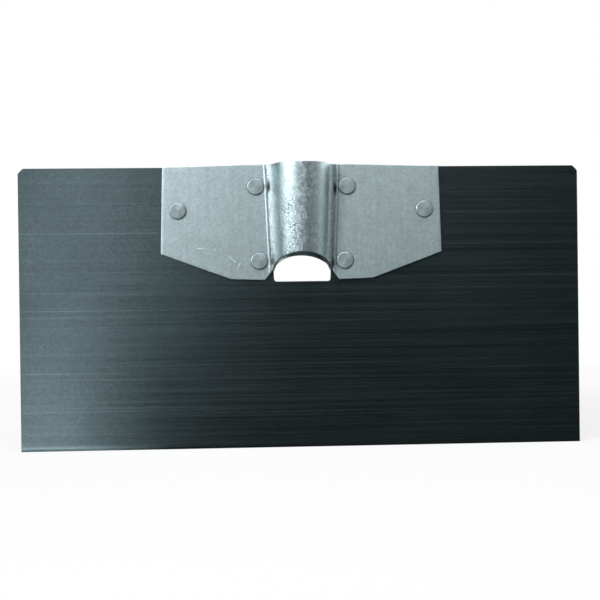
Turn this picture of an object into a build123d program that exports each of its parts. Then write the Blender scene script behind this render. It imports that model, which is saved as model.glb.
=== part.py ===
from build123d import *
import os
from math import atan2, cos, hypot, pi, radians, sin, tan

# A bull float: a flat steel blade clamped between two pressed sheet halves, which close round a notch in the
# blade and form a tapered round socket for a wooden handle. Six rivets hold the sandwich together.
#
# Frame: the blade stands in the XZ plane on its working edge, Z = 0. The handle leaves upwards, along +Z.
# The rivets' flat factory heads face -Y, the front. Lengths are in millimetres and angles in degrees.

# Blade: spring steel, 16 in by 8 in
BLADE_LENGTH = 406.4
BLADE_HEIGHT = 203.2
BLADE_THICKNESS = 1.2
TOP_CORNER_CLIP = 3.6
TOP_CORNER_ROUND = 2.0
EDGE_BREAK = 0.2
WORKING_EDGE_LAND = 0.6
WORKING_EDGE_BEVEL_HEIGHT = 1.6

# Notch in the blade, which the handle's end reaches into
NOTCH_FLOOR_Z = 120.3
NOTCH_FLOOR_HALF_WIDTH = 20.4
NOTCH_CORNER_RADIUS = 2.0

# Socket halves: pressed sheet. The crease is where the flat flange turns up into the fillet.
SHEET = 1.5
SOCKET_HALF_ANGLE = 2.5
MOUTH_CREASE_HALF_WIDTH = 27.0
FILLET_RADIUS = 8.0

# Outline of the flanges, as half-widths from the socket's axis and heights
FLANGE_TOP_HALF_WIDTH = 100.0
FLANGE_SIDE_HALF_WIDTH = 101.7
FLANGE_SIDE_Z = 141.0
FLANGE_FOOT_HALF_WIDTH = 51.5
FLANGE_FOOT_Z = 122.3
FLANGE_TOE_HALF_WIDTH = 27.1
FLANGE_TOE_Z = 121.5
FLANGE_EDGE_BREAK = 0.35

# Arch cut through the lower end of the socket
ARCH_HALF_WIDTH = 21.6
ARCH_BASE_Z = 128.5
ARCH_HEIGHT = 12.5

# Rivets: 1/4 in flat-head rivets, set against a flat at the rear
SHANK_RADIUS = 3.175
HEAD_RADIUS = 6.0
HEAD_RIM_HEIGHT = 1.0
HEAD_DOME_HEIGHT = 0.2
HEAD_RIM_ROUND = 0.3
SET_HEAD_RADIUS = 4.9
SET_HEAD_HEIGHT = 2.6
SET_HEAD_ROUND = 0.8
UPPER_RIVET = (33.1, 188.9)
LOWER_RIVET = (31.0, 135.2)
OUTER_RIVET = (89.3, 171.9)
# The setting tool presses the socket's fillet flat in a circle about each inner rivet
SETTING_TOOL_RADIUS = 9.8

# Height over the blade's mid-plane of a flange's outer face, which every rivet head sits on
FLANGE_FACE = BLADE_THICKNESS / 2 + SHEET
# Longer than any part is deep, for cutting right through
THROUGH = 80.0


def taper_in(drop):
    """How much narrower a tapered feature is at this depth below the socket's mouth, on each side."""
    return drop * tan(radians(SOCKET_HALF_ANGLE))


def rivet_places():
    """Each rivet's name with its X and Z."""
    places = {}
    for height_name, (x, z) in (("upper", UPPER_RIVET), ("lower", LOWER_RIVET), ("outer", OUTER_RIVET)):
        places[f"rivet_{height_name}_left"] = (-x, z)
        places[f"rivet_{height_name}_right"] = (x, z)
    return places


def along_y(x, z, radius, start, end):
    """A cylinder that runs along Y from start to end."""
    circle = Plane((x, start, z), x_dir=(1, 0, 0), z_dir=(0, 1, 0)) * Circle(radius)
    return extrude(circle, amount=end - start)


def drill_rivet_holes(piece):
    """The piece with a hole for each rivet, which the set rivet fills."""
    for x, z in rivet_places().values():
        piece -= along_y(x, z, SHANK_RADIUS, -THROUGH, THROUGH)
    return piece


def blade_outline():
    """The blade seen from the front, with clipped and rounded top corners."""
    sheet = Pos(0, BLADE_HEIGHT / 2) * Rectangle(BLADE_LENGTH, BLADE_HEIGHT)
    top_corners = sheet.vertices().group_by(Axis.Y)[-1]
    sheet = chamfer(top_corners, TOP_CORNER_CLIP)
    clip_ends = sheet.vertices().filter_by(lambda corner: corner.Y > BLADE_HEIGHT / 2)
    return fillet(clip_ends, TOP_CORNER_ROUND)


def notch_outline():
    """The notch seen from the front: open at the top, and tapered like the socket."""
    top_half_width = NOTCH_FLOOR_HALF_WIDTH + taper_in(BLADE_HEIGHT - NOTCH_FLOOR_Z)
    outline = make_face(
        Polyline(
            (-NOTCH_FLOOR_HALF_WIDTH, NOTCH_FLOOR_Z),
            (NOTCH_FLOOR_HALF_WIDTH, NOTCH_FLOOR_Z),
            (top_half_width, BLADE_HEIGHT),
            (-top_half_width, BLADE_HEIGHT),
            close=True,
        )
    )
    return fillet(outline.vertices().group_by(Axis.Y)[0], NOTCH_CORNER_RADIUS)


def blade_profile():
    """The blade seen from its end: flat, with a bevel on both sides of the working edge."""
    half = BLADE_THICKNESS / 2
    half_land = WORKING_EDGE_LAND / 2
    return make_face(
        Polyline(
            (-half_land, 0),
            (half_land, 0),
            (half, WORKING_EDGE_BEVEL_HEIGHT),
            (half, BLADE_HEIGHT),
            (-half, BLADE_HEIGHT),
            (-half, WORKING_EDGE_BEVEL_HEIGHT),
            close=True,
        )
    )


def blade():
    """The spring steel blade."""
    outline = blade_outline() - notch_outline()
    sheet = extrude(Plane.XZ * outline, amount=BLADE_THICKNESS / 2, both=True)
    front_and_rear = sheet.faces().filter_by(Axis.Y)
    rim = front_and_rear.edges().filter_by(lambda edge: edge.center().Z > WORKING_EDGE_BEVEL_HEIGHT)
    sheet = chamfer(rim, EDGE_BREAK)
    sheet &= extrude(Plane.YZ * blade_profile(), amount=BLADE_LENGTH, both=True)
    return drill_rivet_holes(sheet)


def on_circle(centre, radius, angle):
    """The point of a circle at this angle from +X, in radians."""
    return (centre[0] + radius * cos(angle), centre[1] + radius * sin(angle))


def crease_half_width(z):
    """The half-width of the bulge at height z, out to the creases where the flanges begin."""
    return MOUTH_CREASE_HALF_WIDTH - taper_in(BLADE_HEIGHT - z)


def bulge_skin(crease, depth):
    """One skin of the bulge in section, from left to right: fillet, barrel, fillet.

    crease is the section's half-width. depth is how far the skin lies below the outer one.
    """
    fillet_centre = (crease, FLANGE_FACE + FILLET_RADIUS)
    fillet_radius = FILLET_RADIUS + depth
    barrel_radius = hypot(*fillet_centre) - fillet_radius
    lean = atan2(fillet_centre[1], fillet_centre[0])
    fillet_start = (crease, FLANGE_FACE - depth)
    fillet_middle = on_circle(fillet_centre, fillet_radius, (lean + pi + 3 * pi / 2) / 2)
    fillet_end = on_circle((0, 0), barrel_radius, lean)

    def left(point):
        return (-point[0], point[1])

    return [
        ThreePointArc(left(fillet_start), left(fillet_middle), left(fillet_end)),
        ThreePointArc(left(fillet_end), (0, barrel_radius), fillet_end),
        ThreePointArc(fillet_end, fillet_middle, fillet_start),
    ]


def bulge_section(z):
    """The rear half's bulge in section at height z."""
    outer = bulge_skin(crease_half_width(z), 0)
    inner = bulge_skin(crease_half_width(z), SHEET)
    ends = [Line(outer[0] @ 0, inner[0] @ 0), Line(outer[-1] @ 1, inner[-1] @ 1)]
    return Pos(0, 0, z) * make_face(outer + inner + ends)


def flange_blank(low, high):
    """The right flange before it is cut to its outline: flat sheet from the crease outwards."""
    outline = make_face(
        Polyline(
            (crease_half_width(low), low),
            (BLADE_LENGTH / 2, low),
            (BLADE_LENGTH / 2, high),
            (crease_half_width(high), high),
            close=True,
        )
    )
    return extrude(Plane.XZ.offset(-FLANGE_FACE) * outline, amount=SHEET)


def bracket_outline():
    """A half seen from the front: flared flanges with sloped feet, and the arch under the socket."""
    right = [
        (FLANGE_TOP_HALF_WIDTH, BLADE_HEIGHT),
        (FLANGE_SIDE_HALF_WIDTH, FLANGE_SIDE_Z),
        (FLANGE_FOOT_HALF_WIDTH, FLANGE_FOOT_Z),
        (FLANGE_TOE_HALF_WIDTH, FLANGE_TOE_Z),
        (ARCH_HALF_WIDTH, ARCH_BASE_Z),
    ]
    left = [(-x, z) for x, z in reversed(right)]
    flanges = make_face(Polyline(*right, *left, close=True))
    arch = Pos(0, ARCH_BASE_Z) * Ellipse(ARCH_HALF_WIDTH, ARCH_HEIGHT)
    return flanges - arch


def is_flange_rim(edge):
    """Is this an edge of the flange's outer face, other than those that touch the bulge?"""
    on_face = all(abs(corner.Y - FLANGE_FACE) < 0.001 for corner in edge.vertices())
    return on_face and abs(edge.center().X) > MOUTH_CREASE_HALF_WIDTH


def socket_half():
    """The rear half of the bracket and socket."""
    low = FLANGE_TOE_Z - SHEET
    high = BLADE_HEIGHT + SHEET
    bulge = loft([bulge_section(low), bulge_section(high)], ruled=True)
    flange = flange_blank(low, high)
    pressed = bulge + flange + mirror(flange, about=Plane.YZ)
    half = pressed & extrude(Plane.XZ * bracket_outline(), amount=THROUGH, both=True)
    half = chamfer(half.edges().filter_by(is_flange_rim), FLANGE_EDGE_BREAK)
    for x, z in (UPPER_RIVET, LOWER_RIVET):
        for side in (-1, 1):
            half -= along_y(side * x, z, SETTING_TOOL_RADIUS, FLANGE_FACE, FLANGE_FACE + FILLET_RADIUS / 2)
    return drill_rivet_holes(half)


def rivet(x, z):
    """A set rivet: a flat, slightly domed factory head in front, and the upset end of the shank at the rear."""
    head_top = FLANGE_FACE + HEAD_RIM_HEIGHT + HEAD_DOME_HEIGHT
    dome_radius = (HEAD_RADIUS**2 + HEAD_DOME_HEIGHT**2) / (2 * HEAD_DOME_HEIGHT)
    head = along_y(0, 0, HEAD_RADIUS, -head_top, -FLANGE_FACE)
    head &= Pos(0, dome_radius - head_top, 0) * Sphere(dome_radius)
    dome_rim = head.edges().group_by(Axis.Y)[0]
    head = fillet(dome_rim, HEAD_RIM_ROUND)
    shank = along_y(0, 0, SHANK_RADIUS, -FLANGE_FACE, FLANGE_FACE)
    set_head = along_y(0, 0, SET_HEAD_RADIUS, FLANGE_FACE, FLANGE_FACE + SET_HEAD_HEIGHT)
    set_head = fillet(set_head.edges().filter_by(GeomType.CIRCLE), SET_HEAD_ROUND)
    return Pos(x, 0, z) * (head + shank + set_head)


def main():
    rear_half = socket_half()
    nodes = {
        "blade": blade(),
        "front_socket_half": mirror(rear_half, about=Plane.XZ),
        "rear_socket_half": rear_half,
    }
    for name, (x, z) in rivet_places().items():
        nodes[name] = rivet(x, z)
    os.makedirs("parts", exist_ok=True)
    for name, shape in nodes.items():
        export_step(shape, f"parts/{name}.step")


main()
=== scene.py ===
from math import atan2, cos, exp, hypot, pi, radians, sin, tan

import bpy
from mathutils import Matrix, Vector


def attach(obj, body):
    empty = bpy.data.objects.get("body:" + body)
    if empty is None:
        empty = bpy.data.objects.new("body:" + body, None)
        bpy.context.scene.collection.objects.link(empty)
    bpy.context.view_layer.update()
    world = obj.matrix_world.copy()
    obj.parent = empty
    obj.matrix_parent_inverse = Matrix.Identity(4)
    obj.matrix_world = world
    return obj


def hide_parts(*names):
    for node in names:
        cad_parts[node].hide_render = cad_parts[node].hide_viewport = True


# The object's frame is the CAD model's: the blade stands in the XZ plane with its front towards -Y.
# Shapes are worked out in millimetres, and turned into metres when their meshes are made. The camera, the
# lights and the floor are placed in metres. The constants below give angles in degrees.
MM = 0.001

# ---------------------------------------------------------------- the camera and the studio

CAMERA_PLACE = (-0.0262, -0.6048, 0.1092)
CAMERA_YAW = -2.301
CAMERA_PITCH = -0.242
CAMERA_ROLL = 0.727
CAMERA_FIELD_OF_VIEW = 39.62
CAMERA_SENSOR_MM = 36

# Softboxes: azimuth and elevation, distance, width and height, and radiance. Azimuth 0 is in front of the
# object, and azimuths above 0 are to its right.
SOFTBOXES = {
    "key_softbox": (-50, 25, 3.0, 0.55, 0.5, 84.0),
    "left_softbox": (-72, 8, 3.0, 0.95, 0.95, 3.5),
    "fill_softbox": (47, 16, 3.0, 0.8, 0.8, 1.5),
    "overhead_softbox": (5, 60, 1.2, 0.95, 0.95, 2.7),
}
SOFTBOX_AIM = (0, 0, 0.1)

# The studio's walls: an even glow, and brighter lobes by azimuth, elevation, tightness and strength
WALL_GLOW = 0.0175
WALL_LOBES = (
    (-15.2, -10, 520.0, 3.1),
    (-13, 8, 110.0, 0.95),
    (17, 6, 45.0, 0.03),
    (98, 0, 22.0, 2.5),
    (130, 5, 12.0, 2.6),
)

FLOOR_RADIUS = 12
FLOOR_HEIGHT = -0.0002
FLOOR_COLOUR = (0.2, 0.2, 0.2)
FLOOR_COLOUR_UNSEEN = (0.3, 0.3, 0.3, 1.0)

# ---------------------------------------------------------------- the pressed sheet

# The two socket halves, as in the CAD model
MOUTH_Z = 203.2
SHEET = 1.5
FLANGE_FACE = 2.1
SOCKET_HALF_ANGLE = 2.5
MOUTH_CREASE_HALF_WIDTH = 27.0
FILLET_RADIUS = 8.0
SIDE_TOP_HALF_WIDTH = 100.0
SIDE_FOOT_HALF_WIDTH = 101.7
SIDE_FOOT_Z = 141.0
FOOT_HALF_WIDTH = 51.5
FOOT_Z = 122.3
TOE_HALF_WIDTH = 27.1
TOE_Z = 121.5
ARCH_HALF_WIDTH = 21.6
ARCH_BASE_Z = 128.5
ARCH_HEIGHT = 12.5

# How finely a half's section is divided, from its crown outwards, and how many rows stand above one another
BARREL_STEPS = 30
FILLET_STEPS_TO_ARCH = 9
FILLET_STEPS_PAST_ARCH = 10
TOE_STEPS = 12
FOOT_STEPS = 14
SIDE_STEPS = 22
SHEET_ROWS = 130

# How often the ends of a leaning column are worked out again, so that they settle on the outline
FOOT_REPEATS = 60
TOP_REPEATS = 4

# What the press and the setting tool leave on the sheet
REAR_ARCH_LESS = 1.2
RIDGE_OUT = -0.5
RIDGE_HALF_WIDTH = 1.25
LEFT_RIDGE_HEIGHT = 0.29
RIGHT_RIDGE_HEIGHT = 0.28
DRAWN_RISE = 1.6
DRAWN_REACH = 45.0
DRAWN_CROWN_DROP = 0.5
DRAWN_CROWN_HALF_WIDTH = 15.0
DENT_HALF_WIDTH = 1.1
DENT_HALF_HEIGHT = 4.4
DENT_DEPTH = 0.4
BROKEN_EDGE = 0.5

# Dents of the setting tool in the fillets beside the inner rivets: X, Z and the share of light left by the
# shade painted in them
DENTS = (
    (-23.6, 188.4, 0.08),
    (-20.9, 134.4, 0.4),
    (24.5, 187.0, 0.06),
    (22.4, 132.4, 0.2),
)
# The painted shade in the dents: its width to its height
DENT_SHADE_WIDTH_TO_HEIGHT = 0.24

# Wear on the front: scratches on the left flange, each from end to end; and spots of painted highlight,
# painted bright
SCRATCHES = (
    ((-76.4, 144.6), (-70.3, 144.8)),
    ((-64.1, 143.9), (-62.5, 143.6)),
    ((-53.4, 139.3), (-47.3, 133.6)),
    ((-44.4, 134.6), (-47.3, 130.0)),
)
SCRATCH_WIDTH = 0.7
PAINTED_HIGHLIGHT_SPOTS = ((0.9, 176.7), (-22.2, 130.8))

# ---------------------------------------------------------------- the rivets

# As in the CAD model: X and Z of each, and their sizes
RIVET_PLACES = {
    "rivet_upper_left": (-33.1, 188.9),
    "rivet_upper_right": (33.1, 188.9),
    "rivet_lower_left": (-31.0, 135.2),
    "rivet_lower_right": (31.0, 135.2),
    "rivet_outer_left": (-89.3, 171.9),
    "rivet_outer_right": (89.3, 171.9),
}
SHANK_RADIUS = 3.175
HEAD_RADIUS = 6.0
HEAD_HEIGHT = 1.2
SET_HEAD_RADIUS = 4.9
SET_HEAD_HEIGHT = 2.6

# Finer shaping: the flat head's edge round, crown and lower bevel, and the set head's rounds and crown
HEAD_EDGE_ROUND = 0.6
HEAD_CROWN = 0.12
HEAD_BEVEL_WIDTH = 0.45
HEAD_BEVEL_HEIGHT = 0.35
SET_HEAD_FOOT_ROUND = 0.5
SET_HEAD_ROUND = 1.1
SET_HEAD_CROWN = 0.06

# How uneven the rivets are: two and three waves round their faces, which start this far off the flange, and
# three and five bulges round the set heads, as a share of their radius
FACE_WAVES = (0.12, 0.09)
FACE_START = 0.7
SET_HEAD_BULGES = (0.02, 0.012)
RIVET_TURNS = 60

# Painted shadow round the heads, where they meet the sheet
PAINTED_SHADOW_RING_RADIUS = 6.2

# ---------------------------------------------------------------- colours

BLUED_STEEL_COLOUR = (0.19, 0.27, 0.293)
ZINC_COLOUR = (0.54, 0.675, 0.705)
PLATED_RIVET_COLOUR = (0.385, 0.48, 0.503)


# ---------------------------------------------------------------- pieces


def new_piece(name, vertices, faces):
    """A smooth-shaded mesh piece of the object, from points in millimetres."""
    mesh = bpy.data.meshes.new(name)
    mesh.from_pydata([Vector(point) * MM for point in vertices], [], faces)
    mesh.validate()
    piece = bpy.data.objects.new(name, mesh)
    bpy.context.scene.collection.objects.link(piece)
    mesh.polygons.foreach_set("use_smooth", [True] * len(mesh.polygons))
    return piece


def stand_for(piece, node):
    """Makes a piece ride with the object and stand for a CAD node."""
    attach(piece, "root")
    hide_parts(node)


# ---------------------------------------------------------------- section of a socket half


def crease_half_width(z):
    """The half-width of the bulge at height z, out to the creases where the flanges begin."""
    return MOUTH_CREASE_HALF_WIDTH - (MOUTH_Z - z) * tan(radians(SOCKET_HALF_ANGLE))


def side_half_width(z):
    """Half-width of the flanges at height z."""
    share = (z - SIDE_FOOT_Z) / (MOUTH_Z - SIDE_FOOT_Z)
    return SIDE_FOOT_HALF_WIDTH + (SIDE_TOP_HALF_WIDTH - SIDE_FOOT_HALF_WIDTH) * share


# Each of the next three functions gives a point of the section: its half-width, and how far it stands out
# from the blade's middle plane. depth is how far it lies below the outer skin.


def barrel_point(share, z, depth):
    """A point of the barrel: share 0 is its crown and 1 is where it meets the fillet."""
    crease = crease_half_width(z)
    centre_out = FLANGE_FACE + FILLET_RADIUS
    radius = hypot(crease, centre_out) - FILLET_RADIUS - depth
    lean = atan2(centre_out, crease)
    angle = pi / 2 - share * (pi / 2 - lean)
    return radius * cos(angle), radius * sin(angle)


def fillet_point(share, z, depth):
    """A point of the fillet: share 0 is where it meets the barrel and 1 is the crease."""
    crease = crease_half_width(z)
    centre_out = FLANGE_FACE + FILLET_RADIUS
    radius = FILLET_RADIUS + depth
    lean = atan2(centre_out, crease)
    angle = lean + pi + share * (pi / 2 - lean)
    return crease + radius * cos(angle), centre_out + radius * sin(angle)


def flange_point(share, z, depth):
    """A point of the flange: share 0 is the crease and 1 is its side."""
    crease = crease_half_width(z)
    return crease + share * (side_half_width(z) - crease), FLANGE_FACE - depth


def fillet_share_at(x, z):
    """The share of the fillet that lies at this half-width."""
    crease = crease_half_width(z)
    lean = atan2(FLANGE_FACE + FILLET_RADIUS, crease)
    from_foot = atan2(crease - x, (FILLET_RADIUS**2 - (crease - x) ** 2) ** 0.5)
    return 1 - from_foot / (pi / 2 - lean)


def flange_share_at(x, z):
    """The share of the flange that lies at this half-width."""
    crease = crease_half_width(z)
    return (x - crease) / (side_half_width(z) - crease)


def steps(function, start, end, count):
    """Columns of points at even shares from start up to, but not at, end."""
    return [(function, start + (end - start) * i / count) for i in range(count)]


def right_columns():
    """The right side's section, from the crown outwards, as pairs of a point function and a share."""
    arch = fillet_share_at(ARCH_HALF_WIDTH, ARCH_BASE_Z)
    toe = flange_share_at(TOE_HALF_WIDTH, TOE_Z)
    foot = flange_share_at(FOOT_HALF_WIDTH, FOOT_Z)
    return [
        *steps(barrel_point, 0.0, 1.0, BARREL_STEPS),
        *steps(fillet_point, 0.0, arch, FILLET_STEPS_TO_ARCH),
        *steps(fillet_point, arch, 1.0, FILLET_STEPS_PAST_ARCH),
        *steps(flange_point, 0.0, toe, TOE_STEPS),
        *steps(flange_point, toe, foot, FOOT_STEPS),
        *steps(flange_point, foot, 1.0, SIDE_STEPS),
        (flange_point, 1.0),
    ]


def whole_section():
    """Both sides' columns from left to right, each with its side: -1 is left and 1 is right."""
    right = right_columns()
    return [(-1, column) for column in reversed(right[1:])] + [(1, column) for column in right]


# ---------------------------------------------------------------- outline of a socket half


def foot_height(x, less):
    """Height of a half's lower outline at half-width x. less is how much smaller its arch is cut."""
    if x > FOOT_HALF_WIDTH:
        share = (x - FOOT_HALF_WIDTH) / (SIDE_FOOT_HALF_WIDTH - FOOT_HALF_WIDTH)
        return FOOT_Z + (SIDE_FOOT_Z - FOOT_Z) * share
    if x > TOE_HALF_WIDTH:
        share = (x - TOE_HALF_WIDTH) / (FOOT_HALF_WIDTH - TOE_HALF_WIDTH)
        return TOE_Z + (FOOT_Z - TOE_Z) * share
    half_width = ARCH_HALF_WIDTH - less
    if x > half_width:
        share = (x - half_width) / (TOE_HALF_WIDTH - half_width)
        return ARCH_BASE_Z + (TOE_Z - ARCH_BASE_Z) * share
    across = x / half_width
    round_part = max(1 - across**2, 0) ** 0.5
    return ARCH_BASE_Z + (ARCH_HEIGHT - less) * round_part


def top_height(x):
    """Height of a half's upper outline: pressing drew it up beside the socket, and less so at its crown."""
    beside = exp(-((max(abs(x) - MOUTH_CREASE_HALF_WIDTH, 0) / DRAWN_REACH) ** 2))
    crown = exp(-((x / DRAWN_CROWN_HALF_WIDTH) ** 2))
    return MOUTH_Z + DRAWN_RISE * beside - DRAWN_CROWN_DROP * crown


def lowest(column, less):
    """Height at which a column of points meets the lower outline."""
    function, share = column
    z = ARCH_BASE_Z
    for _ in range(FOOT_REPEATS):
        z = foot_height(function(share, z, 0)[0], less)
    return z


def highest(column):
    """Height at which a column of points meets the upper outline."""
    function, share = column
    z = MOUTH_Z
    for _ in range(TOP_REPEATS):
        z = top_height(function(share, z, 0)[0])
    return z


# ---------------------------------------------------------------- the socket halves


def ridge(x, z):
    """Height of the ridge that the press raised beside each crease."""
    off = (abs(x) - crease_half_width(z) - RIDGE_OUT) / RIDGE_HALF_WIDTH
    height = LEFT_RIDGE_HEIGHT if x < 0 else RIGHT_RIDGE_HEIGHT
    return height * (1 + cos(pi * off)) / 2 if abs(off) < 1 else 0.0


def pressed_out(x, out, z):
    """How far out the outer skin stands once the press and the setting tool have marked it."""
    out += ridge(x, z)
    for dent_x, dent_z, _ in DENTS:
        across = (x - dent_x) / DENT_HALF_WIDTH
        along = (z - dent_z) / DENT_HALF_HEIGHT
        out -= DENT_DEPTH * exp(-(across**2) - along**2)
    return out


def skins(section, facing, less):
    """Points of a half's outer and inner skins, column by column, each from the bottom up."""
    outer, inner = [], []
    for side, column in section:
        function, share = column
        low = lowest(column, less)
        high = highest(column)
        for row in range(SHEET_ROWS + 1):
            z = low + (high - low) * row / SHEET_ROWS
            x, out = function(share, z, 0)
            outer.append((side * x, facing * pressed_out(side * x, out, z), z))
            x, out = function(share, z, SHEET)
            inner.append((side * x, facing * out, z))
    return outer, inner


def sheet_rim(across, up):
    """The outer skin's border points in order. The skin has across columns with up points in each."""
    rim = [i * up for i in range(across)]
    rim += [(across - 1) * up + j for j in range(1, up)]
    rim += [i * up + up - 1 for i in range(across - 2, -1, -1)]
    rim += [j for j in range(up - 2, 0, -1)]
    return rim


def sheet_faces(across, up, rim):
    """The two skins of a sheet, and the faces that join their borders."""
    inner = across * up
    faces = []
    for i in range(across - 1):
        for j in range(up - 1):
            a, b, c, d = i * up + j, (i + 1) * up + j, (i + 1) * up + j + 1, i * up + j + 1
            faces.append((a, b, c, d))
            faces.append((d + inner, c + inner, b + inner, a + inner))
    for first, second in zip(rim, rim[1:] + rim[:1]):
        faces.append((second, first, first + inner, second + inner))
    return faces


def break_edges(piece, rim, inner):
    """Bevels the borders of a sheet's two skins. inner is the number of the inner skin's first point."""
    weights = piece.data.attributes.new("bevel_weight_edge", "FLOAT", "EDGE")
    on_rim = set(rim)
    for edge in piece.data.edges:
        first, second = edge.vertices
        on_outer_rim = first in on_rim and second in on_rim
        on_inner_rim = first - inner in on_rim and second - inner in on_rim
        if on_outer_rim or on_inner_rim:
            weights.data[edge.index].value = 1.0
    bevel = piece.modifiers.new("broken_edges", "BEVEL")
    bevel.limit_method = "WEIGHT"
    bevel.width = BROKEN_EDGE * MM
    bevel.segments = 2


def socket_half(name, facing, less):
    """A pressed half of the socket. facing is -1 for the front and 1 for the rear."""
    section = whole_section()
    outer, inner = skins(section, facing, less)
    across, up = len(section), SHEET_ROWS + 1
    rim = sheet_rim(across, up)
    faces = sheet_faces(across, up, rim)
    if facing > 0:
        faces = [tuple(reversed(face)) for face in faces]
    piece = new_piece(f"{name}_pressed", outer + inner, faces)
    break_edges(piece, rim, len(outer))
    stand_for(piece, name)
    return piece


# ---------------------------------------------------------------- rivets


def arc(centre, radius, start, end, count):
    """Points of a circle from the start angle to the end angle, in degrees, in this many steps."""
    angles = [radians(start + (end - start) * i / count) for i in range(count + 1)]
    return [(centre[0] + radius * cos(angle), centre[1] + radius * sin(angle)) for angle in angles]


def rivet_profile():
    """Half of a set rivet's section, front to back: radii and how far they are behind the blade's middle."""
    face = -FLANGE_FACE - HEAD_HEIGHT
    edge_centre = (HEAD_RADIUS - HEAD_EDGE_ROUND, face + HEAD_CROWN + HEAD_EDGE_ROUND)
    head = [(r, face + HEAD_CROWN * (r / HEAD_RADIUS) ** 2) for r in (0.0, 1.2, 2.4, 3.6, 4.6, 5.2)]
    head += arc(edge_centre, HEAD_EDGE_ROUND, -80, 0, 5)
    head += [
        (HEAD_RADIUS, -FLANGE_FACE - HEAD_BEVEL_HEIGHT),
        (HEAD_RADIUS - HEAD_BEVEL_WIDTH, -FLANGE_FACE),
        (SHANK_RADIUS, -FLANGE_FACE),
    ]
    end = FLANGE_FACE + SET_HEAD_HEIGHT
    foot_centre = (SET_HEAD_RADIUS - SET_HEAD_FOOT_ROUND, FLANGE_FACE + SET_HEAD_FOOT_ROUND)
    end_centre = (SET_HEAD_RADIUS - SET_HEAD_ROUND, end - SET_HEAD_ROUND)
    set_head = [(SHANK_RADIUS, FLANGE_FACE), (SET_HEAD_RADIUS - SET_HEAD_FOOT_ROUND, FLANGE_FACE)]
    set_head += arc(foot_centre, SET_HEAD_FOOT_ROUND, -90, 0, 4)
    set_head += arc(end_centre, SET_HEAD_ROUND, 0, 80, 5)
    set_head += [(r, end + SET_HEAD_CROWN * (1 - r / 4)) for r in (3.0, 2.2, 1.3, 0.6, 0.0)]
    return head + set_head


def bulged(r, out, angle, phase):
    """The radius of a rivet at this angle: only its set head is uneven."""
    if out <= FLANGE_FACE:
        return r
    three, five = SET_HEAD_BULGES
    return r * (1 + three * sin(3 * angle + phase) + five * sin(5 * angle + 2 * phase))


def waved(r, out, angle, phase):
    """How far a rivet's face is moved to the rear: only the ends of its heads are uneven."""
    if abs(out) <= FLANGE_FACE + FACE_START:
        return 0.0
    two, three = FACE_WAVES
    wave = two * sin(2 * angle + phase) + three * sin(3 * angle - phase)
    return wave * min(r / HEAD_RADIUS, 1.0)


def rivet_points(x, z, profile):
    """Rings of points round the rivet from front to rear, then the front and rear ends of its axis."""
    phase = x * 0.7 + z * 1.3  # turns each rivet's unevenness its own way
    points = []
    for r, out in profile[1:-1]:
        for turn in range(RIVET_TURNS):
            angle = 2 * pi * turn / RIVET_TURNS
            reach = bulged(r, out, angle, phase)
            y = out + waved(r, out, angle, phase)
            points.append((x + reach * cos(angle), y, z + reach * sin(angle)))
    points += [(x, profile[0][1], z), (x, profile[-1][1], z)]
    return points


def rivet_faces(rings):
    """Faces between this many rings of points, and fans that close both ends."""
    faces = []
    neighbours = [(turn, (turn + 1) % RIVET_TURNS) for turn in range(RIVET_TURNS)]
    last = (rings - 1) * RIVET_TURNS
    for start in range(0, last, RIVET_TURNS):
        for turn, following in neighbours:
            a, b = start + turn, start + following
            faces.append((a, b, b + RIVET_TURNS, a + RIVET_TURNS))
    front = last + RIVET_TURNS
    rear = front + 1
    for turn, following in neighbours:
        faces.append((front, following, turn))
        faces.append((rear, last + turn, last + following))
    return faces


def rivet(name):
    """A set rivet: a low flat head in front, and at the rear the end of the shank, hammered over."""
    x, z = RIVET_PLACES[name]
    profile = rivet_profile()
    points = rivet_points(x, z, profile)
    piece = new_piece(f"{name}_set", points, rivet_faces(len(profile) - 2))
    stand_for(piece, name)
    return piece


# ---------------------------------------------------------------- node trees


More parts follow.
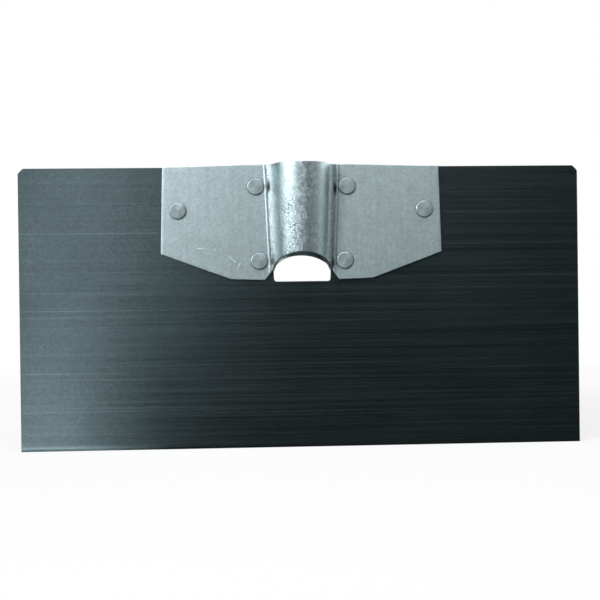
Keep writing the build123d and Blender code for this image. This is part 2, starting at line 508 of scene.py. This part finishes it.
class Graph:
    """Builds a node tree. Most methods add nodes and return the output that other nodes are fed from."""

    def __init__(self, owner):
        owner.use_nodes = True
        self.tree = owner.node_tree
        self.tree.nodes.clear()

    def node(self, kind, inputs=(), **settings):
        """Adds a node and returns it. inputs are values or other nodes' outputs, by name or number."""
        made = self.tree.nodes.new(kind)
        for name, value in settings.items():
            setattr(made, name, value)
        for name, value in dict(inputs).items():
            self.feed(made.inputs[name], value)
        return made

    def feed(self, socket, value):
        if isinstance(value, bpy.types.NodeSocket):
            self.tree.links.new(value, socket)
        else:
            socket.default_value = value

    def math(self, operation, *values):
        made = self.node("ShaderNodeMath", operation=operation)
        for socket, value in zip(made.inputs, values):
            self.feed(socket, value)
        return made.outputs[0]

    def vector(self, operation, *values, output="Vector"):
        made = self.node("ShaderNodeVectorMath", operation=operation)
        for socket, value in zip(made.inputs, values):
            self.feed(socket, value)
        return made.outputs[output]

    def dot(self, first, second):
        return self.vector("DOT_PRODUCT", first, second, output="Value")

    def place(self):
        """Where the shaded point is, in the frame of the CAD model, in metres."""
        return self.node("ShaderNodeTexCoord").outputs["Object"]

    def normal(self):
        """The direction that the surface faces, before any bump."""
        return self.node("ShaderNodeNewGeometry").outputs["Normal"]

    def parts(self, vector):
        """A vector's X, Y and Z, by name."""
        return self.node("ShaderNodeSeparateXYZ", {"Vector": vector}).outputs

    def noise(self, place, density, detail=2.0, roughness=0.5):
        """Noise from 0 to 1 with about this many lumps in a metre along X, Y and Z."""
        stretched = self.vector("MULTIPLY", place, density)
        inputs = {"Vector": stretched, "Scale": 1.0, "Detail": detail, "Roughness": roughness}
        return self.node("ShaderNodeTexNoise", inputs).outputs["Fac"]

    def span(self, value, low, high, to_low=0.0, to_high=1.0):
        """value carried from the range low..high to to_low..to_high, and held at its ends."""
        inputs = {"Value": value, "From Min": low, "From Max": high, "To Min": to_low, "To Max": to_high}
        return self.node("ShaderNodeMapRange", inputs, clamp=True).outputs["Result"]

    def factor(self, mask, full):
        """A factor that is 1 where the mask is 0, and full where the mask is 1."""
        return self.span(mask, 0.0, 1.0, 1.0, full)

    def product(self, first, *others):
        so_far = first
        for value in others:
            so_far = self.math("MULTIPLY", so_far, value)
        return so_far

    def total(self, first, *others):
        so_far = first
        for value in others:
            so_far = self.math("ADD", so_far, value)
        return so_far

    def scaled(self, colour, factor):
        return self.node("ShaderNodeVectorMath", {0: colour, "Scale": factor}, operation="SCALE").outputs[0]

    def bump(self, height, distance):
        return self.node("ShaderNodeBump", {"Height": height, "Distance": distance}).outputs["Normal"]

    def seen_and_lit(self, seen, lit):
        """One shader for what the camera sees directly, and another for light and reflections."""
        direct = self.node("ShaderNodeLightPath").outputs["Is Camera Ray"]
        return self.node("ShaderNodeMixShader", {0: direct, 1: lit, 2: seen}).outputs[0]

    def finish(self, shader, output="ShaderNodeOutputMaterial"):
        self.node(output, {"Surface": shader})

    def finish_metal(self, inputs):
        """Ends a material with a Principled shader."""
        self.finish(self.node("ShaderNodeBsdfPrincipled", inputs).outputs["BSDF"])


def new_material(name):
    material = bpy.data.materials.new(name)
    return material, Graph(material)


# ---------------------------------------------------------------- material of the blade


def painted_corner_glint(graph, place):
    """1 along the left part of the blade's working edge, where a glint is painted in as paler, less metallic
    steel, and 0 elsewhere.
    """
    parts = graph.parts(place)
    return graph.product(
        graph.span(parts["Z"], 0.8 * MM, 4.5 * MM, 1.0, 0.0),
        graph.span(parts["X"], -150 * MM, -95 * MM, 1.0, 0.0),
    )


def blued_spring_steel():
    """Dark rolled spring steel, with fine streaks along its length."""
    material, graph = new_material("blued_spring_steel_look")
    place = graph.place()
    fine = graph.noise(place, (6, 700, 1500), detail=3, roughness=0.7)
    middle = graph.noise(place, (1.4, 300, 520), detail=3, roughness=0.6)
    broad = graph.noise(place, (3, 100, 90))
    clouds = graph.noise(place, (22, 22, 30), detail=3)
    grain = graph.noise(place, (700, 700, 700), roughness=0.6)
    scratched = graph.span(graph.noise(place, (3, 500, 1300), detail=1), 0.66, 0.74)
    corner_glint = painted_corner_glint(graph, place)
    tone = graph.product(
        graph.span(fine, 0.25, 0.75, 0.9, 1.1),
        graph.span(middle, 0.3, 0.7, 0.92, 1.08),
        # painted glint: the left part of the working edge painted twice as pale
        graph.factor(corner_glint, 2.0),
        graph.span(clouds, 0.3, 0.7, 0.93, 1.07),
        graph.span(grain, 0.3, 0.7, 0.88, 1.12),
        graph.factor(scratched, 1.3),
    )
    roughness = graph.total(
        graph.span(middle, 0.32, 0.68, 0.198, 0.242),
        graph.span(fine, 0.25, 0.75, -0.018, 0.018),
        graph.span(broad, 0.3, 0.7, -0.01, 0.01),
    )
    film = graph.product(graph.span(fine, 0.35, 0.65), graph.span(grain, 0.3, 0.7, 0.5, 1.0))
    graph.finish_metal({
        "Base Color": graph.scaled(BLUED_STEEL_COLOUR, tone),
        "Metallic": graph.math("SUBTRACT", graph.factor(film, 0.955), graph.product(corner_glint, 0.35)),
        "Roughness": roughness,
        "Specular Tint": (0.5, 0.5, 0.5, 1.0),
        "Anisotropic": 0.8,
        "Tangent": graph.node("ShaderNodeCombineXYZ", {"Z": 1.0}).outputs[0],
        "Normal": graph.bump(fine, 0.004 * MM),
    })
    return material


# ---------------------------------------------------------------- material of the pressed sheet


def inside_crease(graph, place):
    """How far inside the crease a point lies, in metres: above 0 on the bulge and below 0 on the flanges."""
    parts = graph.parts(place)
    slope = tan(radians(SOCKET_HALF_ANGLE))
    at_floor = (MOUTH_CREASE_HALF_WIDTH - MOUTH_Z * slope) * MM
    crease = graph.math("MULTIPLY_ADD", parts["Z"], slope, at_floor)
    return graph.math("SUBTRACT", crease, graph.math("ABSOLUTE", parts["X"]))


def away_from(graph, place, x, z):
    """Distance, in metres, from a line along Y through this X and Z in millimetres."""
    level = graph.vector("MULTIPLY", place, (1, 0, 1))
    return graph.vector("DISTANCE", level, (x * MM, 0, z * MM), output="Value")


def band(graph, value, middle, half_width):
    """1 where a value in metres is at the middle, and 0 from half_width off it, both in millimetres."""
    off = graph.math("ABSOLUTE", graph.math("SUBTRACT", value, middle * MM))
    return graph.span(off, 0.0, half_width * MM, 1.0, 0.0)


def stroke(graph, place, start, end):
    """A scratch on the front, from start to end as X and Z in millimetres: 1 on it and 0 off it."""
    middle = ((start[0] + end[0]) / 2 * MM, 0, (start[1] + end[1]) / 2 * MM)
    length = hypot(end[0] - start[0], end[1] - start[1]) * MM
    width = SCRATCH_WIDTH * MM
    turn = atan2(end[1] - start[1], end[0] - start[0])
    from_middle = graph.vector("SUBTRACT", place, middle)
    along = graph.math("ABSOLUTE", graph.dot(from_middle, (cos(turn), 0, sin(turn))))
    across = graph.math("ABSOLUTE", graph.dot(from_middle, (-sin(turn), 0, cos(turn))))
    return graph.product(
        graph.span(along, length * 0.3, length * 0.5, 1.0, 0.0),
        graph.span(across, width * 0.3, width * 0.5, 1.0, 0.0),
        graph.math("LESS_THAN", graph.dot(place, (0, 1, 0)), 0.0),
    )


def scratches(graph, place):
    return graph.total(*[stroke(graph, place, start, end) for start, end in SCRATCHES])


def painted_highlight_spots(graph, place):
    # Painted highlights: the colour is brighter round each spot
    away = [away_from(graph, place, x, z) for x, z in PAINTED_HIGHLIGHT_SPOTS]
    return graph.total(*[graph.span(gap, 1.0 * MM, 2.4 * MM, 1.0, 0.0) for gap in away])


def painted_rivet_shadows(graph, place):
    """The painted shadow line round each rivet's head: 1 on it and 0 off it."""
    ringed = 0.0
    for x, z in RIVET_PLACES.values():
        from_line = graph.math("SUBTRACT", away_from(graph, place, x, z), PAINTED_SHADOW_RING_RADIUS * MM)
        ring = graph.span(graph.math("ABSOLUTE", from_line), 0.1 * MM, 0.9 * MM, 1.0, 0.0)
        ringed = graph.math("MAXIMUM", ringed, ring)
    return ringed


def painted_dent_shade(graph, place):
    """The share of light left by the shade painted in the setting tool's dents, and 1 away from them."""
    light = 1.0
    for x, z, kept in DENTS:
        from_dent = graph.vector("SUBTRACT", place, (x * MM, 0, z * MM))
        as_if_round = graph.vector("MULTIPLY", from_dent, (1, 0, DENT_SHADE_WIDTH_TO_HEIGHT))
        away = graph.vector("LENGTH", as_if_round, output="Value")
        light = graph.math("MULTIPLY", light, graph.span(away, 0.5 * MM, 1.6 * MM, kept, 1.0))
    return light


def pitting(graph, place, clumps, bulge):
    """Small pits on the bulge, in clumps, most of them left of its crown: 1 in a pit and 0 elsewhere."""
    parts = graph.parts(place)
    pits = graph.noise(place, (850, 850, 700), detail=3, roughness=0.75)
    return graph.product(
        graph.span(pits, 0.53, 0.6),
        graph.span(clumps, 0.35, 0.6, 0.3, 1.0),
        graph.span(parts["X"], -4 * MM, 2 * MM, 1.0, 0.3),
        graph.span(parts["X"], -17 * MM, -14 * MM),
        graph.span(parts["Z"], 175 * MM, 190 * MM, 1.0, 0.3),
        bulge,
    )


def painted_sheen_line(graph, place):
    """A line painted brighter down the middle of the bulge: a painted sheen where the highlight trails off.
    """
    parts = graph.parts(place)
    return graph.product(
        graph.span(parts["X"], -6 * MM, -1 * MM),
        graph.span(parts["X"], 1.5 * MM, 4 * MM, 1.0, 0.0),
    )


def painted_crease_shade_and_highlights(graph, place, inside):
    """Painted shade and painted highlights in lines along the creases, where the bulge meets the flanges."""
    left = graph.math("LESS_THAN", graph.parts(place)["X"], 0.0)
    right = graph.math("SUBTRACT", 1.0, left)
    # factors below 1 are painted shade, and factors above 1 are painted highlight
    lines = (  # side, distance inside the crease, half-width and how much brighter the zinc is
        (left, 9.0, 3.0, 0.62),
        (left, 3.8, 3.0, 0.68),
        (right, 2.6, 2.2, 0.72),
        (right, 0.65, 0.7, 1.35),
        (right, -0.65, 0.6, 0.65),
    )
    return graph.product(*[
        graph.factor(graph.product(side, band(graph, inside, middle, half_width)), full)
        for side, middle, half_width, full in lines
    ])


def painted_edge_light(graph, clumps, bulge):
    """Two masks of painted highlight: the flanges' upper and left edges, painted bright where they face the
    light, and painted glints along the broken lower edges.
    """
    normal = graph.normal()
    down = graph.dot(normal, (0, 0, -1))
    left = graph.dot(normal, (-1, 0, 0))
    upper = graph.span(down, -0.6, -0.2, 1.0, 0.0)
    upper_or_left = graph.math("MAXIMUM", upper, graph.span(left, 0.2, 0.6))
    bright = graph.product(upper_or_left, graph.math("SUBTRACT", 1.0, bulge))
    painted_edge_glint = graph.product(
        graph.span(down, 0.25, 0.5),
        graph.span(down, 0.8, 0.95, 1.0, 0.0),
        graph.span(clumps, 0.5, 0.56),
    )
    return bright, painted_edge_glint


def painted_socket_shade(graph, place):
    """1 on the skin that faces the socket's axis, where shade is painted inside the socket, and 0 elsewhere.
    """
    from_axis = graph.vector("NORMALIZE", graph.vector("MULTIPLY", place, (1, 1, 0)))
    return graph.span(graph.dot(graph.normal(), from_axis), -0.3, -0.1, 1.0, 0.0)


def galvanised_sheet():
    """Dull zinc coating with a fine mottle, burnished on the bulge where the press stretched it."""
    material, graph = new_material("galvanised_sheet_look")
    place = graph.place()
    parts = graph.parts(place)
    inside = inside_crease(graph, place)
    bulge = graph.span(inside, -0.5 * MM, 1.5 * MM)
    flange = graph.math("SUBTRACT", 1.0, bulge)
    grain = graph.noise(place, (700, 700, 700), detail=3, roughness=0.75)
    clouds = graph.noise(place, (130, 130, 130), detail=3, roughness=0.6)
    streaks = graph.noise(place, (450, 450, 14))
    clumps = graph.noise(place, (160, 160, 90))
    spangle = graph.noise(place, (380, 380, 330), detail=4, roughness=0.7)
    mottle_strength = graph.span(bulge, 0, 1, 0.1, 1.0)
    mottle = graph.total(0.5, graph.product(graph.math("SUBTRACT", spangle, 0.5), mottle_strength))
    pitted = pitting(graph, place, clumps, bulge)
    painted_edge_highlight, painted_edge_glint = painted_edge_light(graph, clumps, bulge)
    # The tone mixes the zinc's own grain, mottle, pits and scratches with painted light and shade along the
    # creases, round the rivets, on the bulge, along the edges, inside the socket and in the dents.
    tone = graph.product(
        painted_crease_shade_and_highlights(graph, place, inside),
        graph.span(grain, 0.25, 0.75, 0.79, 1.21),
        graph.span(clouds, 0.3, 0.7, 0.95, 1.05),
        graph.span(streaks, 0.3, 0.7, 0.96, 1.04),
        graph.factor(pitted, 0.35),
        graph.factor(flange, 0.87),
        graph.span(mottle, 0.35, 0.65, 0.84, 1.16),
        graph.factor(painted_rivet_shadows(graph, place), 0.68),
        # Painted light and shade: darker towards the bottom, brighter at the left end and darker towards the
        # right, as the key light falls from the upper left.
        graph.span(parts["Z"], 130 * MM, MOUTH_Z * MM, 0.88, 1.0),
        graph.span(parts["X"], -100 * MM, -45 * MM, 1.16, 1.0),
        graph.span(parts["X"], -20 * MM, 60 * MM, 1.0, 0.95),
        graph.factor(scratches(graph, place), 1.7),
        graph.factor(painted_highlight_spots(graph, place), 1.3),
        graph.factor(painted_sheen_line(graph, place), 1.2),
        graph.factor(painted_edge_highlight, 2.1),
        graph.factor(painted_socket_shade(graph, place), 0.85),
        graph.factor(painted_edge_glint, 2.2),
        painted_dent_shade(graph, place),
    )
    flange_roughness = graph.span(grain, 0.25, 0.75, 0.5, 0.6)
    bulge_roughness = graph.total(graph.span(spangle, 0.35, 0.65, 0.29, 0.53), graph.product(pitted, 0.1))
    grain_height = graph.product(grain, graph.span(bulge, 0, 1, 0.5, 1.6))
    graph.finish_metal({
        "Base Color": graph.scaled(ZINC_COLOUR, tone),
        "Metallic": graph.span(bulge, 0, 1, 0.6, 0.87),
        "Roughness": graph.total(
            graph.product(bulge_roughness, bulge),
            graph.product(flange_roughness, flange),
        ),
        "Normal": graph.bump(graph.total(grain_height, graph.product(pitted, -0.5)), 0.15 * MM),
    })
    return material


# ---------------------------------------------------------------- material of the rivets


def rivet_steel():
    """Zinc-plated rivet, turned round its axis and burnished round its edge."""
    material, graph = new_material("rivet_steel_look")
    grain = graph.noise(graph.place(), (700, 700, 700), detail=3, roughness=0.7)
    along_axis = graph.math("ABSOLUTE", graph.dot(graph.normal(), (0, 1, 0)))
    edge = graph.span(along_axis, 0.8, 0.97, 1.0, 0.0)
    tone = graph.product(graph.span(grain, 0.25, 0.75, 0.78, 1.22), graph.factor(edge, 1.4))
    graph.finish_metal({
        "Base Color": graph.scaled(PLATED_RIVET_COLOUR, tone),
        "Metallic": graph.span(edge, 0, 1, 0.6, 0.95),
        "Roughness": graph.span(edge, 0, 1, 0.5, 0.3),
        "Normal": graph.bump(grain, 0.04 * MM),
        "Anisotropic": 0.35,
        "Tangent": graph.node("ShaderNodeTangent", direction_type="RADIAL", axis="Y").outputs["Tangent"],
    })
    return material


# ---------------------------------------------------------------- studio


def turned(azimuth, elevation):
    """The direction this many degrees to the right of the front, and this many degrees up."""
    level = cos(radians(elevation))
    return Vector((
        sin(radians(azimuth)) * level,
        -cos(radians(azimuth)) * level,
        sin(radians(elevation)),
    ))


def add_camera():
    data = bpy.data.cameras.new("camera")
    data.sensor_width = CAMERA_SENSOR_MM
    data.lens = data.sensor_width / 2 / tan(radians(CAMERA_FIELD_OF_VIEW / 2))
    data.clip_start = 0.01
    data.clip_end = 50
    camera = bpy.data.objects.new("camera", data)
    bpy.context.scene.collection.objects.link(camera)
    camera.matrix_world = (
        Matrix.Translation(CAMERA_PLACE)
        @ Matrix.Rotation(radians(CAMERA_YAW), 4, "Z")
        @ Matrix.Rotation(radians(90 + CAMERA_PITCH), 4, "X")
        @ Matrix.Rotation(radians(-CAMERA_ROLL), 4, "Z")
    )
    bpy.context.scene.camera = camera


def add_softbox(name, azimuth, elevation, distance, width, height, radiance):
    """A soft rectangular light, aimed at the middle of the object."""
    data = bpy.data.lights.new(name, "AREA")
    data.shape = "RECTANGLE"
    data.size = width
    data.size_y = height
    data.energy = radiance * pi * width * height
    light = bpy.data.objects.new(name, data)
    bpy.context.scene.collection.objects.link(light)
    away = turned(azimuth, elevation)
    light.location = Vector(SOFTBOX_AIM) + away * distance
    light.rotation_mode = "QUATERNION"
    light.rotation_quaternion = away.to_track_quat("Z", "Y")
    light.visible_camera = False


def lobe(graph, direction, azimuth, elevation, tightness, strength):
    """A soft round glow in the studio's walls."""
    along = graph.dot(direction, tuple(turned(azimuth, elevation)))
    falloff = graph.math("EXPONENT", graph.product(graph.math("SUBTRACT", along, 1.0), tightness))
    return graph.product(falloff, strength)


def background(graph, strength):
    inputs = {"Color": (1.0, 1.0, 1.0, 1.0), "Strength": strength}
    return graph.node("ShaderNodeBackground", inputs).outputs[0]


def add_world():
    """Dim walls with soft glows, for light and reflections, and plain white for what the camera sees."""
    world = bpy.data.worlds.new("studio")
    bpy.context.scene.world = world
    graph = Graph(world)
    direction = graph.node("ShaderNodeTexCoord").outputs["Generated"]
    glow = graph.total(WALL_GLOW, *[lobe(graph, direction, *settings) for settings in WALL_LOBES])
    both = graph.seen_and_lit(background(graph, 1.0), background(graph, glow))
    graph.finish(both, "ShaderNodeOutputWorld")


def pale_floor():
    """White to the camera, with soft shadows near the object, and grey in the light that it sends back."""
    material, graph = new_material("pale_floor")
    distance = graph.vector("LENGTH", graph.place(), output="Value")
    near = graph.span(distance, 0.25, 0.9, 1.0, 0.0)
    lit = graph.node("ShaderNodeBsdfDiffuse", {"Color": graph.scaled(FLOOR_COLOUR, near)})
    glow = graph.node("ShaderNodeEmission", {"Strength": graph.factor(near, 0.8)})
    seen = graph.node("ShaderNodeAddShader", {0: lit.outputs[0], 1: glow.outputs[0]})
    unseen = graph.node("ShaderNodeBsdfDiffuse", {"Color": FLOOR_COLOUR_UNSEEN})
    graph.finish(graph.seen_and_lit(seen.outputs[0], unseen.outputs[0]))
    return material


def add_floor():
    """A pale floor that runs out into the white background."""
    bpy.ops.mesh.primitive_circle_add(vertices=96, radius=FLOOR_RADIUS, fill_type="NGON")
    floor = bpy.context.object
    floor.name = "floor"
    floor.location.z = FLOOR_HEIGHT
    floor.visible_glossy = False
    floor.data.materials.append(pale_floor())


# ---------------------------------------------------------------- scene

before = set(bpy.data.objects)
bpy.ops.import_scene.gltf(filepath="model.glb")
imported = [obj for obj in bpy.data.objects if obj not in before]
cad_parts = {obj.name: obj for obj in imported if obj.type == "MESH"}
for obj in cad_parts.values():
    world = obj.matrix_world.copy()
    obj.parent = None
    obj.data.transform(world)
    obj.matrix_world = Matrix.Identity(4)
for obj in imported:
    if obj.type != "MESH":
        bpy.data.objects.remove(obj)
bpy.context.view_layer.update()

add_camera()
add_world()
add_floor()
for name, settings in SOFTBOXES.items():
    add_softbox(name, *settings)

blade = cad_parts["blade"]
blade.data.materials[0] = blued_spring_steel()

zinc = galvanised_sheet()
socket_half("front_socket_half", -1, 0.0).data.materials.append(zinc)
socket_half("rear_socket_half", 1, REAR_ARCH_LESS).data.materials.append(zinc)

plated = rivet_steel()
for name in RIVET_PLACES:
    rivet(name).data.materials.append(plated)

bpy.context.scene.view_settings.view_transform = "Standard"
